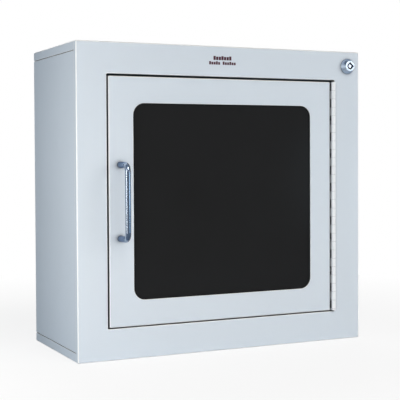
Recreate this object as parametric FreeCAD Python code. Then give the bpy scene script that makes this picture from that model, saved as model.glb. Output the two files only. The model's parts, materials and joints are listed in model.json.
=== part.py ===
"""Alarmed steel wall cabinet: inset glazed door on a continuous hinge, key switch, battery alarm.

Frame: millimetres, +Z up, the door faces -Y, origin at the centre of the wall-side back face.
"""
import FreeCAD, Part
import math
import os

from FreeCAD import Vector

os.makedirs("parts", exist_ok=True)

# ---- sheet-metal box -------------------------------------------------------------------------
WIDTH, HEIGHT, DEPTH = 454.0, 438.0, 197.0
SHEET = 1.2                      # 18 gauge steel
RAIL = 43.7                      # face-frame rail and stile width
BEND = 1.8                       # outside radius of a bent edge
RETURN = 8.0                     # depth of the face frame's outer flange
CAP_FLANGE = 12.7                # height of the top and bottom caps' side flanges
CAP_SEAM = 0.9                   # open seam between a cap's flange and the side panel
BACK_FLANGE = 15.0
FACE = -DEPTH                    # Y of the face frame's front
HALF_W, HALF_H = WIDTH / 2, HEIGHT / 2
OPEN_X, OPEN_Z = HALF_W - RAIL, HALF_H - RAIL      # half sizes of the door opening
OPEN_CORNER = 1.8
STOP_FRONT = FACE + 17.5         # Y of the door stop's front face
STOP_LIP = 10.0                  # how far the stop reaches into the opening
WALL_HOLE_X, WALL_HOLE_Z = 406.4, 355.6            # wall-screw spacings, 16 in and 14 in
WALL_HOLE_R = 3.5

# ---- door ------------------------------------------------------------------------------------
GAP_LEFT, GAP_TOP, GAP_BOTTOM, GAP_HINGE = 2.4, 2.9, 1.4, 7.3
DOOR_DEPTH, DOOR_LIP = 16.0, 12.0
DOOR_X0, DOOR_X1 = -OPEN_X + GAP_LEFT, OPEN_X - GAP_HINGE
DOOR_Z0, DOOR_Z1 = -OPEN_Z + GAP_BOTTOM, OPEN_Z - GAP_TOP
DOOR_BACK = FACE + DOOR_DEPTH
WINDOW_X0, WINDOW_X1 = DOOR_X0 + 36.5, DOOR_X1 - 35.7
WINDOW_Z0, WINDOW_Z1 = DOOR_Z0 + 36.1, DOOR_Z1 - 36.8
WINDOW_CORNER = 16.5
PANE_LAP, PANE_T, TAPE_T = 9.0, 3.0, 1.0
PANE_FRONT = FACE + SHEET + TAPE_T
CLIP_HALF, CLIP_GAP, CLIP_STUD_OUT = 7.0, 0.4, 5.3   # half width, gap to the pane, stud from it

# ---- continuous hinge ------------------------------------------------------------------------
KNUCKLE, KNUCKLE_GAP = 12.7, 0.3
BARREL_R, PIN_R, PIN_CLEARANCE = 3.2, 1.2, 0.05
HINGE_X, HINGE_Y = OPEN_X - BARREL_R, FACE - 2.0
HINGE_TOP, HINGE_BOTTOM = DOOR_Z1 - 0.1, DOOR_Z0 + 0.1
LEAF_BACK = STOP_FRONT - 0.8
RIVET_Y = FACE + 9.5
RIVET_COUNT, RIVET_R = 8, 1.6
SMALL_SCREW_R = 1.5              # M3 screws, studs and rivets of the small fittings

# ---- handle ----------------------------------------------------------------------------------
HANDLE_X, HANDLE_Z, HANDLE_CENTRES = -164.5, -0.5, 101.6
HANDLE_R, HANDLE_OUT, HANDLE_BEND = 4.0, 30.0, 10.0
WASHER_T = 0.8

# ---- magnetic catch and door switch ----------------------------------------------------------
STRIKE_BACK = DOOR_BACK - SHEET  # inner face of the door's lip
CATCH_TIP = STRIKE_BACK + 0.3
CATCH_X0, CATCH_X1, CATCH_HALF = DOOR_X0 + DOOR_LIP + 1.2, DOOR_X0 + DOOR_LIP + 12.2, 24.0
CATCH_WALL, MAGNET_HALF, CATCH_EAR_Z = 1.6, 19.0, 19.0
REED_X0, REED_X1, REED_Z0, REED_Z1 = -150.0, -116.0, OPEN_Z - 9.6, OPEN_Z - 0.4
REED_T = 7.0
MAGNET_X0, MAGNET_X1 = -147.0, -119.0
MAGNET_Z0, MAGNET_Z1 = DOOR_Z1 - DOOR_LIP + 0.3, DOOR_Z1 - SHEET - 1.2

# ---- key switch ------------------------------------------------------------------------------
LOCK_X, LOCK_Z = HALF_W - 21.0, HALF_H - 22.3
BEZEL_R, BEZEL_FACE_R, BEZEL_OUT, BEZEL_RIM = 11.3, 7.6, 8.6, 0.8
KEYWAY_R, POST_R, KEYWAY_DEPTH = 5.0, 2.9, 6.0
NOTCH_HALF, NOTCH_REACH = 1.1, KEYWAY_R + 1.3
LOCK_PIN_COUNT, LOCK_PIN_R, LOCK_PIN_RING = 7, 0.5, 3.9
LOCK_BARREL_R, LOCK_BARREL_LEN = 9.4, 22.0
SWITCH_SIZE, SWITCH_LEN = 20.0, 14.0

# ---- alarm unit on the inside of the back panel ----------------------------------------------
ALARM_X0, ALARM_X1, ALARM_Z0, ALARM_Z1 = 60.0, 170.0, 132.0, 208.0
ALARM_BACK = -SHEET
ALARM_SPLIT = ALARM_BACK - 9.0   # parting line between base and cover
ALARM_FRONT = ALARM_BACK - 38.0
ALARM_WALL, ALARM_FLOOR, ALARM_CORNER = 2.0, 2.5, 4.0
POST_R_OUT, POST_INSET = 3.2, 6.0                  # corner screw posts
STUD_R, STUD_INSET = 2.0, 14.0                     # studs that hold the unit to the back panel
SCREW_SINK = 0.6                                   # depth of the cover screws' counterbores
BOARD_T = 1.6
BOARD_BACK = ALARM_SPLIT - 1.5
BOARD_FRONT = BOARD_BACK - BOARD_T
BATTERY_X0, BATTERY_Z0 = 99.0, 138.5
BATTERY_LEN, BATTERY_TALL, BATTERY_THICK = 46.0, 26.0, 17.0
BATTERY_FRONT = ALARM_FRONT + 3.4
HATCH_X0, HATCH_X1, HATCH_Z0, HATCH_Z1 = 90.0, 152.0, 136.0, 167.0
HATCH_T, HATCH_GAP = 2.0, 0.4
HATCH_PIN_R, HATCH_BARREL_R = 0.9, 2.0
HATCH_PIN_X, HATCH_PIN_Y = HATCH_X1 + 1.6, ALARM_FRONT - 1.2
EAR_TALL = 3.1                                     # height of each lug round the hatch pin
SIREN_X, SIREN_Z, SIREN_R = 82.0, 184.0, 15.0
SLOT_PITCH = 4.0
TERMINAL_Z, TERMINAL_SCREWS_X = 192.0, (128.5, 134.2, 139.9, 145.6)

# ---- leads and their clips -------------------------------------------------------------------
LEAD_R, LEAD_BEND = 1.6, 9.0
REED_LEAD_X, REED_LEAD_Z, KEY_LEAD_Z = -94.0, 192.0, 190.0
LEAD_Y = (BOARD_FRONT + ALARM_FRONT) / 2           # where both leads enter the alarm unit
CLIP_STANDOFF = 4.0                                # a lead's centre to the sheet under its clip
TOP_INSIDE = HALF_H - SHEET      # underside of the top cap
SIDE_INSIDE = HALF_W - SHEET     # inner face of a side panel


def box(x0, x1, y0, y1, z0, z1):
    return Part.makeBox(x1 - x0, y1 - y0, z1 - z0, Vector(x0, y0, z0))


def rod(radius, start, end):
    start, end = Vector(*start), Vector(*end)
    return Part.makeCylinder(radius, (end - start).Length, start, end - start)


def edges_along(shape, axis):
    """Straight edges parallel to the axis numbered 0, 1 or 2."""
    found = []
    for edge in shape.Edges:
        span = edge.Vertexes[-1].Point - edge.Vertexes[0].Point
        if span.Length > 1e-6 and abs(span[axis]) / span.Length > 0.9999:
            found.append(edge)
    return found


def edges_at(shape, axis, place, inside_x=1e9, inside_z=1e9):
    """Edges lying in one plane, and within a half width and half height of the origin."""
    found = []
    for edge in shape.Edges:
        if edge.Degenerated:
            continue
        first, last = edge.ParameterRange
        points = [edge.valueAt(first + (last - first) * i / 4) for i in range(5)]
        in_plane = all(abs(p[axis] - place) < 1e-4 for p in points)
        if in_plane and all(abs(p.x) < inside_x and abs(p.z) < inside_z for p in points):
            found.append(edge)
    return found


def rounded_slab(x0, x1, y0, y1, z0, z1, corner):
    """Plate facing along Y with its four corners rounded."""
    slab = box(x0, x1, y0, y1, z0, z1)
    return slab.makeFillet(corner, edges_along(slab, 1))


def softened(x0, x1, y0, y1, z0, z1, radius, face_y):
    """Block whose four Y edges and one face's border are rounded like bent sheet."""
    block = box(x0, x1, y0, y1, z0, z1)
    return block.makeFillet(radius, edges_along(block, 1) + edges_at(block, 1, face_y))


def sheet_pan(x0, x1, y0, y1, z0, z1, face_y):
    """Bent tray of sheet steel: a face at face_y and four flanges reaching the other way."""
    outer = softened(x0, x1, y0, y1, z0, z1, BEND, face_y)
    step = SHEET if face_y == y0 else -SHEET
    low, high = (y0 + step, y1) if step > 0 else (y0, y1 + step)
    inner = softened(x0 + SHEET, x1 - SHEET, low, high, z0 + SHEET, z1 - SHEET,
                     BEND - SHEET, face_y + step)
    return outer.cut(inner)


def frame_ring(x0, x1, y0, y1, z0, z1, bar):
    """Four butt-jointed strips round a rectangle, each bar wide."""
    return [box(x0, x1, y0, y1, z1 - bar, z1), box(x0, x1, y0, y1, z0, z0 + bar),
            box(x0, x0 + bar, y0, y1, z0 + bar, z1 - bar),
            box(x1 - bar, x1, y0, y1, z0 + bar, z1 - bar)]


def tube(points, radius, bend):
    """Round wire along straight runs joined by tangent arcs."""
    corners = [Vector(*p) for p in points]
    edges = []
    at = corners[0]
    for before, corner, after in zip(corners, corners[1:], corners[2:]):
        toward, away = (before - corner).normalize(), (after - corner).normalize()
        half = toward.getAngle(away) / 2
        start = corner + toward * (bend / math.tan(half))
        end = corner + away * (bend / math.tan(half))
        middle = corner + (toward + away).normalize() * (bend / math.sin(half) - bend)
        edges.append(Part.LineSegment(at, start).toShape())
        edges.append(Part.Arc(start, middle, end).toShape())
        at = end
    edges.append(Part.LineSegment(at, corners[-1]).toShape())
    section = Part.Wire(Part.Circle(corners[0], corners[1] - corners[0], radius).toShape())
    return Part.Wire(edges).makePipeShell([section], True, False)


def hexagon(x, z, flats, y0, y1):
    """Hexagonal nut blank with its axis along Y."""
    radius = flats / math.sqrt(3)
    turns = [math.radians(60 * i) for i in range(6)]
    corners = [Vector(x + radius * math.cos(a), y0, z + radius * math.sin(a)) for a in turns]
    return Part.Face(Part.makePolygon(corners + corners[:1])).extrude(Vector(0, y1 - y0, 0))


def pan_screw(x, z, head_y, shank_end, head_r, shank_r, head_t):
    """Cross-recessed screw along Y; its head stands off head_y, away from the shank."""
    way = 1.0 if shank_end > head_y else -1.0
    top = head_y - way * head_t
    head = rod(head_r, (x, head_y, z), (x, top, z))
    head = head.makeFillet(head_t * 0.6, edges_at(head, 1, top))
    slot_low, slot_high = sorted((top, top + way * head_t * 0.55))
    reach, half = head_r * 0.6, head_r * 0.13
    head = head.cut(box(x - reach, x + reach, slot_low, slot_high, z - half, z + half))
    head = head.cut(box(x - half, x + half, slot_low, slot_high, z - reach, z + reach))
    return head.fuse(rod(shank_r, (x, head_y, z), (x, shank_end, z)))


def save(node, shape):
    """Write one node; a list is a group of separate solids."""
    whole = Part.makeCompound(shape) if isinstance(shape, list) else shape
    for solid in whole.Solids:
        if not (solid.isValid() and solid.isClosed() and solid.Volume > 0):
            raise ValueError(node + " has a bad solid")
    whole.exportStep("parts/" + node + ".step")


# ---- cabinet ---------------------------------------------------------------------------------
def front_frame():
    shell = sheet_pan(-HALF_W, HALF_W, FACE, FACE + RETURN, -HALF_H, HALF_H, FACE)
    jamb = rounded_slab(-OPEN_X - SHEET, OPEN_X + SHEET, FACE + SHEET / 2, STOP_FRONT,
                        -OPEN_Z - SHEET, OPEN_Z + SHEET, OPEN_CORNER + SHEET)
    hole = rounded_slab(-OPEN_X, OPEN_X, FACE - 1, STOP_FRONT + 1, -OPEN_Z, OPEN_Z, OPEN_CORNER)
    frame = shell.fuse(jamb).cut(hole).removeSplitter()
    frame = frame.makeFillet(0.8, edges_at(frame, 1, FACE, OPEN_X + 1, OPEN_Z + 1))
    return frame.cut(lock_rod(LOCK_BARREL_R, FACE - 1, FACE + 3)).cut(rivet_holes(OPEN_X + 1))


def side_panel(side):
    """Flat side whose top and bottom edges step inward behind the caps' flanges."""
    outer, inner, deep = side * HALF_W, side * SIDE_INSIDE, side * (SIDE_INSIDE - SHEET)
    flat, stepped = HALF_H - CAP_FLANGE - CAP_SEAM, HALF_H - CAP_FLANGE
    tip = TOP_INSIDE - 1.0
    half = [(outer, 0), (outer, flat), (inner, stepped), (inner, tip), (deep, tip),
            (deep, stepped), (inner, flat), (inner, 0)]
    outline = [Vector(x, FACE + RETURN, z) for x, z in half]
    upper = Part.Face(Part.makePolygon(outline + outline[:1]))
    upper = upper.extrude(Vector(0, DEPTH - RETURN, 0))
    rear = box(-HALF_W, HALF_W, -BACK_FLANGE - CAP_SEAM, 1, flat, HALF_H)
    upper = upper.cut(rear)
    return upper.fuse(upper.mirror(Vector(0, 0, 0), Vector(0, 0, 1))).removeSplitter()


def side_panel_left():
    return side_panel(-1)


def side_panel_right():
    return side_panel(1)


def top_cap():
    outer = box(-HALF_W, HALF_W, FACE + RETURN, 0, HALF_H - CAP_FLANGE, HALF_H)
    top_bends = [e for e in edges_along(outer, 1) if e.Vertexes[0].Z > HALF_H - 1]
    outer = outer.makeFillet(BEND, top_bends)
    inner = box(-SIDE_INSIDE, SIDE_INSIDE, FACE, 1, 0, TOP_INSIDE)
    return outer.cut(inner.makeFillet(BEND - SHEET, [e for e in edges_along(inner, 1)
                                                     if e.Vertexes[0].Z > TOP_INSIDE - 1]))


def bottom_cap():
    return top_cap().rotated(Vector(0, 0, 0), Vector(0, 1, 0), 180)


def back_panel():
    pan = sheet_pan(-SIDE_INSIDE, SIDE_INSIDE, -BACK_FLANGE, 0, -TOP_INSIDE, TOP_INSIDE, 0)
    for x in (-WALL_HOLE_X / 2, WALL_HOLE_X / 2):
        for z in (-WALL_HOLE_Z / 2, WALL_HOLE_Z / 2):
            pan = pan.cut(rod(WALL_HOLE_R, (x, -3, z), (x, 1, z)))
    return pan


def door_stop():
    """Strips behind the door's edge, with the screw holes of the catch and the door switch."""
    x, z = OPEN_X + SHEET, OPEN_Z + SHEET
    strips = frame_ring(-x, x, STOP_FRONT, STOP_FRONT + SHEET, -z, z, STOP_LIP + SHEET)
    holes = [rod(RIVET_R, (x, STOP_FRONT - 1, z), (x, STOP_FRONT + 3, z)) for x, z in catch_ears()]
    holes += [rod(SMALL_SCREW_R, (x, STOP_FRONT - 1, z), (x, STOP_FRONT + 3, z))
              for x, z in reed_screws_at()]
    return [strip.cut(Part.makeCompound(holes)).Solids[0] for strip in strips]


def door_bumpers():
    height = STOP_FRONT - DOOR_BACK - 0.3
    return [rod(4.0, (x, STOP_FRONT, z), (x, STOP_FRONT - height, z))
            for x in (-OPEN_X + 6.5, 60.0) for z in (-OPEN_Z + 6.0, OPEN_Z - 6.0)]


def rail_marking():
    """Two rows of plain printed blocks on the top rail."""
    middle_x, ink_t, step, group_gap = -6.2, 0.12, 0.9, 3.6
    rows = ((201.9, 5.6, 3.4, (7,)), (194.8, 4.6, 2.8, (5, 6)))    # z, height, width, group sizes
    blocks = []
    for z, tall, block, groups in rows:
        pitch = block + 0.8
        span = sum(groups) * pitch - 0.8 + (len(groups) - 1) * group_gap
        x = middle_x - span / 2
        for count in groups:
            for index in range(count):
                top = z + tall / 2 - (0.0 if index % 3 == 0 else step)
                blocks.append(box(x, x + block, FACE - ink_t, FACE, z - tall / 2, top))
                x += pitch
            x += group_gap
    return blocks


# ---- continuous hinge ------------------------------------------------------------------------
def knuckle_spans():
    """Lowest and highest Z of each knuckle from the top down; the last is cut short."""
    spans = []
    top = HINGE_TOP
    while top - HINGE_BOTTOM > 1.0:
        low = max(top - KNUCKLE, HINGE_BOTTOM)
        spans.append((low + KNUCKLE_GAP / 2, top - KNUCKLE_GAP / 2))
        top = low
    return spans


def knuckle(side, leaf_x, leaf_y, z0, z1):
    """Rolled knuckle open on one side (+1 frame, -1 door), running back to the leaf at leaf_y."""
    tangent_x = HINGE_X + side * BARREL_R
    inner_x = tangent_x - side * SHEET
    meet_y = HINGE_Y + math.sqrt(BARREL_R ** 2 - (BARREL_R - SHEET) ** 2)
    joggle_y = HINGE_Y + 3.0

    def at(x, y):
        return Vector(x, y, z0)

    start, tangent, meet = at(leaf_x, leaf_y), at(tangent_x, HINGE_Y), at(inner_x, meet_y)
    barrel = Part.Arc(tangent, at(HINGE_X, HINGE_Y - BARREL_R),
                      at(HINGE_X - side * BARREL_R, HINGE_Y)).toShape()
    return_arc = Part.Arc(at(HINGE_X - side * BARREL_R, HINGE_Y),
                          at(HINGE_X - side * BARREL_R * math.cos(0.9),
                             HINGE_Y + BARREL_R * math.sin(0.9)), meet).toShape()
    web = [start, at(tangent_x, joggle_y), tangent]
    back = [meet, at(inner_x, joggle_y), at(leaf_x - side * SHEET, leaf_y), start]
    lines = [Part.LineSegment(a, b).toShape() for a, b in list(zip(web, web[1:]))
             + list(zip(back, back[1:])) if (a - b).Length > 1e-6]
    profile = Part.Wire(Part.__sortEdges__(lines + [barrel, return_arc]))
    return Part.Face(profile).extrude(Vector(0, 0, z1 - z0))


def hinge_leaf(side):
    """Leaf strip and its knuckles: side +1 sits on the frame's jamb, -1 on the door's edge."""
    leaf_x = OPEN_X if side > 0 else DOOR_X1
    front, back = (FACE + 2.5, LEAF_BACK) if side > 0 else (FACE + 4.0, DOOR_BACK - 0.5)
    x0, x1 = sorted((leaf_x, leaf_x - side * SHEET))
    leaf = box(x0, x1, front, back, HINGE_BOTTOM, HINGE_TOP)
    own = knuckle_spans()[0::2] if side > 0 else knuckle_spans()[1::2]
    leaf = leaf.multiFuse([knuckle(side, leaf_x, front, z0, z1) for z0, z1 in own])
    bore_r = PIN_R if side > 0 else PIN_R + PIN_CLEARANCE
    bore = rod(bore_r, (HINGE_X, HINGE_Y, HINGE_BOTTOM - 1), (HINGE_X, HINGE_Y, HINGE_TOP + 1))
    return leaf.cut(bore).cut(rivet_holes(leaf_x)).removeSplitter()


def hinge_frame_leaf():
    return hinge_leaf(1)


def hinge_door_leaf():
    return hinge_leaf(-1)


def rivet_heights():
    pitch = (HINGE_TOP - HINGE_BOTTOM - 30.0) / (RIVET_COUNT - 1)
    return [HINGE_BOTTOM + 15.0 + pitch * i for i in range(RIVET_COUNT)]


def hinge_pin():
    return rod(PIN_R, (HINGE_X, HINGE_Y, HINGE_BOTTOM), (HINGE_X, HINGE_Y, HINGE_TOP))


def hinge_rivets(side):
    """Blind rivets: domed head in the gap between the leaves, set tail behind the sheet."""
    leaf_x = OPEN_X - SHEET if side > 0 else DOOR_X1 + SHEET
    rivets = []
    for z in rivet_heights():
        head = rod(2.6, (leaf_x, RIVET_Y, z), (leaf_x - side * 1.1, RIVET_Y, z))
        head = head.makeFillet(0.6, edges_at(head, 0, leaf_x - side * 1.1))
        shank = rod(RIVET_R, (leaf_x, RIVET_Y, z), (leaf_x + side * 3.4, RIVET_Y, z))
        tail = rod(2.3, (leaf_x + side * 2 * SHEET, RIVET_Y, z), (leaf_x + side * 4.2, RIVET_Y, z))
        rivets.append(head.fuse(shank).fuse(tail))
    return rivets


def hinge_frame_rivets():
    return hinge_rivets(1)


def hinge_door_rivets():
    return hinge_rivets(-1)


def rivet_holes(sheet_x):
    return Part.makeCompound([rod(RIVET_R, (sheet_x - 3, RIVET_Y, z), (sheet_x + 3, RIVET_Y, z))
                              for z in rivet_heights()])


# ---- door ------------------------------------------------------------------------------------
def door_pan():
    pan = softened(DOOR_X0, DOOR_X1, FACE, DOOR_BACK, DOOR_Z0, DOOR_Z1, BEND, FACE)
    pan = pan.cut(softened(DOOR_X0 + SHEET, DOOR_X1 - SHEET, FACE + SHEET, DOOR_BACK - SHEET,
                           DOOR_Z0 + SHEET, DOOR_Z1 - SHEET, BEND - SHEET, FACE + SHEET))
    pan = pan.cut(rounded_slab(DOOR_X0 + DOOR_LIP, DOOR_X1 - DOOR_LIP, DOOR_BACK - 3,
                               DOOR_BACK + 1, DOOR_Z0 + DOOR_LIP, DOOR_Z1 - DOOR_LIP, 3.0))
    pan = pan.cut(rounded_slab(WINDOW_X0, WINDOW_X1, FACE - 1, FACE + 3, WINDOW_Z0, WINDOW_Z1,
                               WINDOW_CORNER))
    for z in handle_heights():
        pan = pan.cut(rod(2.1, (HANDLE_X, FACE - 1, z), (HANDLE_X, FACE + 3, z)))
    for x, z in strike_screws() + magnet_screws():
        pan = pan.cut(rod(SMALL_SCREW_R, (x, DOOR_BACK - 3, z), (x, DOOR_BACK + 1, z)))
    return pan.cut(rivet_holes(DOOR_X1))


def window_pane():
    return rounded_slab(WINDOW_X0 - PANE_LAP, WINDOW_X1 + PANE_LAP, PANE_FRONT,
                        PANE_FRONT + PANE_T, WINDOW_Z0 - PANE_LAP, WINDOW_Z1 + PANE_LAP, 6.0)


def glazing_tape():
    inset, back = 1.0, PANE_FRONT
    outer = rounded_slab(WINDOW_X0 - PANE_LAP, WINDOW_X1 + PANE_LAP, FACE + SHEET, back,
                         WINDOW_Z0 - PANE_LAP, WINDOW_Z1 + PANE_LAP, 6.0)
    return outer.cut(rounded_slab(WINDOW_X0 - inset, WINDOW_X1 + inset, FACE, back + 1,
                                  WINDOW_Z0 - inset, WINDOW_Z1 + inset, WINDOW_CORNER + inset))


def clip_places():
    """Centre of each pane clip on the pane's edge, and the way from the pane to the clip's foot."""
    x0, x1 = WINDOW_X0 - PANE_LAP, WINDOW_X1 + PANE_LAP
    z0, z1 = WINDOW_Z0 - PANE_LAP, WINDOW_Z1 + PANE_LAP
    places = []
    for share in (0.22, 0.78):
        x, z = x0 + share * (x1 - x0), z0 + share * (z1 - z0)
        places += [(x0, z, -1, 0), (x1, z, 1, 0), (x, z0, 0, -1), (x, z1, 0, 1)]
    return places


def oriented_box(x, z, way_x, way_z, out0, out1, half, y0, y1):
    """Block beside a point on the pane's edge, from out0 to out1 along the outward way."""
    xs = sorted((x + way_x * out0 - abs(way_z) * half, x + way_x * out1 + abs(way_z) * half))
    zs = sorted((z + way_z * out0 - abs(way_x) * half, z + way_z * out1 + abs(way_x) * half))
    return box(xs[0], xs[1], y0, y1, zs[0], zs[1])


def pane_clips():
    """Z-shaped clips: foot on the skin, riser beside the pane, tongue over its back."""
    skin, back = FACE + SHEET, PANE_FRONT + PANE_T
    clips = []
    for x, z, way_x, way_z in clip_places():
        spot = (x, z, way_x, way_z)
        foot = oriented_box(*spot, CLIP_GAP, 9.0, CLIP_HALF, skin, skin + SHEET)
        riser = oriented_box(*spot, CLIP_GAP, CLIP_GAP + SHEET, CLIP_HALF, skin, back + SHEET)
        tongue = oriented_box(*spot, -5.0, CLIP_GAP + SHEET, CLIP_HALF, back, back + SHEET)
        clip = foot.fuse(riser).fuse(tongue).removeSplitter()
        clips.append(clip)
    holes = [rod(SMALL_SCREW_R, (x, skin - 1, z), (x, skin + 3, z)) for x, z in pane_stud_places()]
    return [clip.cut(hole) for clip, hole in zip(clips, holes)]


def pane_stud_places():
    return [(x + way_x * CLIP_STUD_OUT, z + way_z * CLIP_STUD_OUT)
            for x, z, way_x, way_z in clip_places()]


def pane_studs():
    skin = FACE + SHEET
    return [rod(SMALL_SCREW_R, (x, skin, z), (x, skin + 6.0, z)) for x, z in pane_stud_places()]


def pane_nuts():
    low = FACE + 2 * SHEET
    return [hexagon(x, z, 5.5, low, low + 2.4).cut(
        rod(SMALL_SCREW_R, (x, low - 1, z), (x, low + 4, z))) for x, z in pane_stud_places()]


def handle_heights():
    return [HANDLE_Z - HANDLE_CENTRES / 2, HANDLE_Z + HANDLE_CENTRES / 2]


def pull_handle():
    low, high = handle_heights()
    bar = FACE - HANDLE_OUT
    handle = tube([(HANDLE_X, FACE, low), (HANDLE_X, bar, low), (HANDLE_X, bar, high),
                   (HANDLE_X, FACE, high)], HANDLE_R, HANDLE_BEND)
    for z in (low, high):
        handle = handle.cut(rod(2.0, (HANDLE_X, FACE + 1, z), (HANDLE_X, FACE - 10, z)))
    return handle


def handle_screws():
    return [pan_screw(HANDLE_X, z, FACE + SHEET + WASHER_T, FACE - 9.0, 3.6, 2.0, 2.4)
            for z in handle_heights()]


def handle_washers():
    skin = FACE + SHEET
    return [rod(4.4, (HANDLE_X, skin, z), (HANDLE_X, skin + WASHER_T, z)).cut(
        rod(2.0, (HANDLE_X, skin - 1, z), (HANDLE_X, skin + 2, z))) for z in handle_heights()]


# ---- magnetic catch --------------------------------------------------------------------------
def strike_screws():
    return [(DOOR_X0 + 6.6, -10.0), (DOOR_X0 + 6.6, 10.0)]


def strike_plate():
    plate = rounded_slab(DOOR_X0 + 2.5, CATCH_X1, STRIKE_BACK - SHEET, STRIKE_BACK, -17, 17, 2.0)
    for x, z in strike_screws():
        plate = plate.cut(rod(SMALL_SCREW_R, (x, STRIKE_BACK - 3, z), (x, STRIKE_BACK + 1, z)))
    return plate


def lip_rivets(places, depth):
    """Low-head rivets set from behind the door's lip."""
    return [rod(2.8, (x, DOOR_BACK, z), (x, DOOR_BACK + 0.8, z)).fuse(
        rod(SMALL_SCREW_R, (x, DOOR_BACK, z), (x, DOOR_BACK - depth, z))) for x, z in places]


def strike_rivets():
    return lip_rivets(strike_screws(), 3.0)


def catch_ears():
    return [(-OPEN_X + 5.0, -CATCH_EAR_Z), (-OPEN_X + 5.0, CATCH_EAR_Z)]


def catch_body():
    lip_back = STOP_FRONT + SHEET
    block = box(CATCH_X0, CATCH_X1, CATCH_TIP + 0.8, lip_back + 9, -CATCH_HALF, CATCH_HALF)
    foot = box(-OPEN_X + 0.5, CATCH_X0, lip_back, lip_back + 3.5, -CATCH_HALF, CATCH_HALF)
    body = block.fuse(foot).removeSplitter()
    body = body.makeFillet(1.0, edges_along(body, 1))
    pocket = box(CATCH_X0 + CATCH_WALL, CATCH_X1 - CATCH_WALL, CATCH_TIP, STOP_FRONT + REED_T,
                 -MAGNET_HALF, MAGNET_HALF)
    body = body.cut(pocket)
    for x, z in catch_ears():
        body = body.cut(rod(RIVET_R, (x, lip_back - 1, z), (x, lip_back + 5, z)))
    return body


def catch_poles():
    """Two steel plates either side of the magnet, reaching to the strike plate."""
    return [box(x, x + CATCH_WALL, CATCH_TIP, STOP_FRONT + REED_T, -MAGNET_HALF, MAGNET_HALF)
            for x in (CATCH_X0 + CATCH_WALL, CATCH_X1 - 2 * CATCH_WALL)]


def catch_magnet():
    return box(CATCH_X0 + 2 * CATCH_WALL, CATCH_X1 - 2 * CATCH_WALL, CATCH_TIP + 1.2,
               STOP_FRONT + REED_T, -MAGNET_HALF, MAGNET_HALF)


def catch_screws():
    ear_back = STOP_FRONT + SHEET + 3.5
    return [pan_screw(x, z, ear_back, STOP_FRONT, 3.0, RIVET_R, 2.0) for x, z in catch_ears()]


# ---- door switch -----------------------------------------------------------------------------
def magnet_screws():
    middle = (MAGNET_Z0 + MAGNET_Z1) / 2
    return [(MAGNET_X0 + 4.0, middle), (MAGNET_X1 - 4.0, middle)]


def door_magnet():
    """Potted magnet inside the door's top lip."""
    magnet = rounded_slab(MAGNET_X0, MAGNET_X1, STRIKE_BACK - 6.0, STRIKE_BACK,
                          MAGNET_Z0, MAGNET_Z1, 1.5)
    for x, z in magnet_screws():
        magnet = magnet.cut(rod(SMALL_SCREW_R, (x, STRIKE_BACK - 4.0, z), (x, STRIKE_BACK + 1, z)))
    return magnet


def magnet_rivets():
    return lip_rivets(magnet_screws(), 4.8)


def reed_screws_at():
    middle = (REED_Z0 + REED_Z1) / 2
    return [(REED_X0 + 4.0, middle), (REED_X1 - 4.0, middle)]


def reed_switch():
    back = STOP_FRONT + SHEET
    body = rounded_slab(REED_X0, REED_X1, back, back + REED_T, REED_Z0, REED_Z1, 1.5)
    for x, z in reed_screws_at():
        body = body.cut(rod(SMALL_SCREW_R, (x, back - 1, z), (x, back + REED_T + 1, z)))
    return body


def reed_screws():
    head = STOP_FRONT + SHEET + REED_T
    return [pan_screw(x, z, head, STOP_FRONT, 2.7, SMALL_SCREW_R, 1.8) for x, z in reed_screws_at()]


# ---- key switch ------------------------------------------------------------------------------
def lock_rod(radius, y0, y1):
    return rod(radius, (LOCK_X, y0, LOCK_Z), (LOCK_X, y1, LOCK_Z))


def lock_bezel():
    """Conical collar with a tubular keyway, notched at twelve and three o'clock."""
    cone = Part.makeCone(BEZEL_R, BEZEL_FACE_R, BEZEL_OUT - BEZEL_RIM,
                         Vector(LOCK_X, FACE - BEZEL_RIM, LOCK_Z), Vector(0, -1, 0))
    bezel = cone.fuse(lock_rod(BEZEL_R, FACE, FACE - BEZEL_RIM)).removeSplitter()
    front = FACE - BEZEL_OUT
    bezel = bezel.cut(lock_rod(KEYWAY_R, front - 1, FACE + 1))
    floor = front + KEYWAY_DEPTH
    bezel = bezel.cut(box(LOCK_X - NOTCH_HALF, LOCK_X + NOTCH_HALF, front - 1, floor,
                          LOCK_Z, LOCK_Z + NOTCH_REACH))
    return bezel.cut(box(LOCK_X, LOCK_X + NOTCH_REACH, front - 1, floor,
                         LOCK_Z - NOTCH_HALF, LOCK_Z + NOTCH_HALF))


def lock_barrel():
    tube_body = lock_rod(LOCK_BARREL_R, FACE, FACE + LOCK_BARREL_LEN)
    return tube_body.cut(lock_rod(KEYWAY_R, FACE - 1, FACE + LOCK_BARREL_LEN + 1))


def lock_rotor():
    """Turning core: floor of the keyway, centre post with its rib, and the drive shaft."""
    front = FACE - BEZEL_OUT
    floor = front + KEYWAY_DEPTH
    core = lock_rod(KEYWAY_R - 0.3, floor, FACE + LOCK_BARREL_LEN)
    post = lock_rod(POST_R, floor, front + 0.4)
    post = post.makeFillet(0.4, edges_at(post, 1, front + 0.4))
    rib = box(LOCK_X - 0.6, LOCK_X + 0.6, front + 1.6, floor, LOCK_Z, LOCK_Z + POST_R + 0.7)
    shaft = lock_rod(2.4, FACE + LOCK_BARREL_LEN, FACE + LOCK_BARREL_LEN + SWITCH_LEN - 4)
    return core.fuse(post).fuse(rib).fuse(shaft).removeSplitter()


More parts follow.
